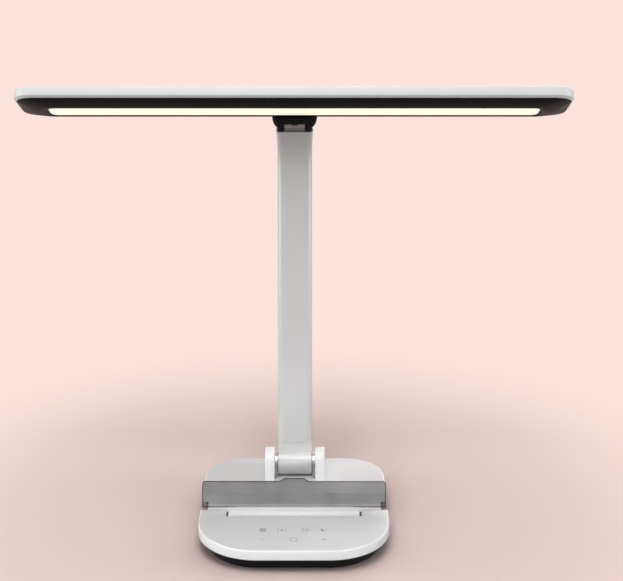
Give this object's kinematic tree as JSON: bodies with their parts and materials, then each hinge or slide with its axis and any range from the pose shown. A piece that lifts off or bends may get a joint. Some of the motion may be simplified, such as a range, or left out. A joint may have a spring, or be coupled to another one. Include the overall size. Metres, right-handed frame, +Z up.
{
  "type": "led desk lamp",
  "caption": "Desk lamp with a wide flat lit head, a leaning arm, and a weighted base with touch keys, a book trough and a folding clear page holder.",
  "frame": {"origin": "centre of the rubber sole on the surface that the lamp stands on", "axes": "+X to the user's right along the head, +Y away from the user, +Z up"},
  "size_m": [0.5376, 0.2532, 0.4116],
  "materials": {
    "white_cover": "satin white moulding",
    "black_shell": "fine matt black moulding",
    "arm_silver": "satin pale silver paint",
    "smoky_clear": "clear smoky acrylic",
    "holder_white": "satin white moulding",
    "lit_diffuser": "frosted lit diffuser",
    "light_guide": "clear moulded acrylic",
    "reflector": "white film",
    "aluminium": "folded sheet",
    "steel": "zinc plated",
    "ballast": "raw plate",
    "rubber": "soft sole",
    "board": "green circuit board",
    "led_board": "white circuit board",
    "led": "phosphor",
    "component": "moulded components",
    "copper": "touch contacts",
    "lead": "soft jacket",
    "inlet": "moulded socket",
    "hinge_cap": "satin grey cap",
    "washer": "low friction polymer"
  },
  "bodies": {
    "root": {"rubber_sole": "rubber", "base_tub": "black_shell", "base_top_cover": "white_cover", "base_screws": "steel", "ballast_plate": "ballast", "control_board": "board", "board_screws": "steel", "touch_pads": "copper", "control_chips": "component", "driver_board": "board", "driver_screws": "steel", "driver_components": "component", "power_inlet": "inlet", "page_holder_pins": "steel", "page_holder_friction_rings": "washer", "arm_bracket": "steel", "bracket_screws": "steel", "arm_friction_washers": "washer", "arm_pin": "steel", "arm_pin_nut": "steel", "arm_hinge_caps": "hinge_cap"},
    "page_holder": {"page_holder_bar": "holder_white", "page_holder_strip": "smoky_clear", "page_holder_screws": "steel"},
    "arm": {"arm_core": "arm_silver", "arm_front_shell": "arm_silver", "arm_rear_shell": "arm_silver", "arm_screws": "steel", "arm_lead": "lead"},
    "head": {"head_top_shell": "white_cover", "head_bottom_pan": "black_shell", "diffuser": "lit_diffuser", "light_guide": "light_guide", "reflector_sheet": "reflector", "led_boards": "led_board", "led_chips": "led", "head_frame": "aluminium", "head_frame_screws": "steel", "head_mount_plate": "steel", "head_mount_screws": "steel", "head_hinge_housing": "black_shell", "head_friction_washers": "washer", "head_pin": "steel", "head_pin_nut": "steel", "head_pin_caps": "black_shell"}
  },
  "joints": [
    {"name": "page_holder_fold", "type": "hinge", "parent": "root", "child": "page_holder", "pos_m": [0, -0.0245, 0.019], "axis": [1, 0, 0], "range_deg": [-72, 25]},
    {"name": "arm_tilt", "type": "hinge", "parent": "root", "child": "arm", "pos_m": [0, 0.065, 0.034], "axis": [1, 0, 0], "range_deg": [-20, 40]},
    {"name": "head_tilt", "type": "hinge", "parent": "arm", "child": "head", "pos_m": [0, 0.13631, 0.36805], "axis": [1, 0, 0], "range_deg": [-15, 60]}
  ]
}
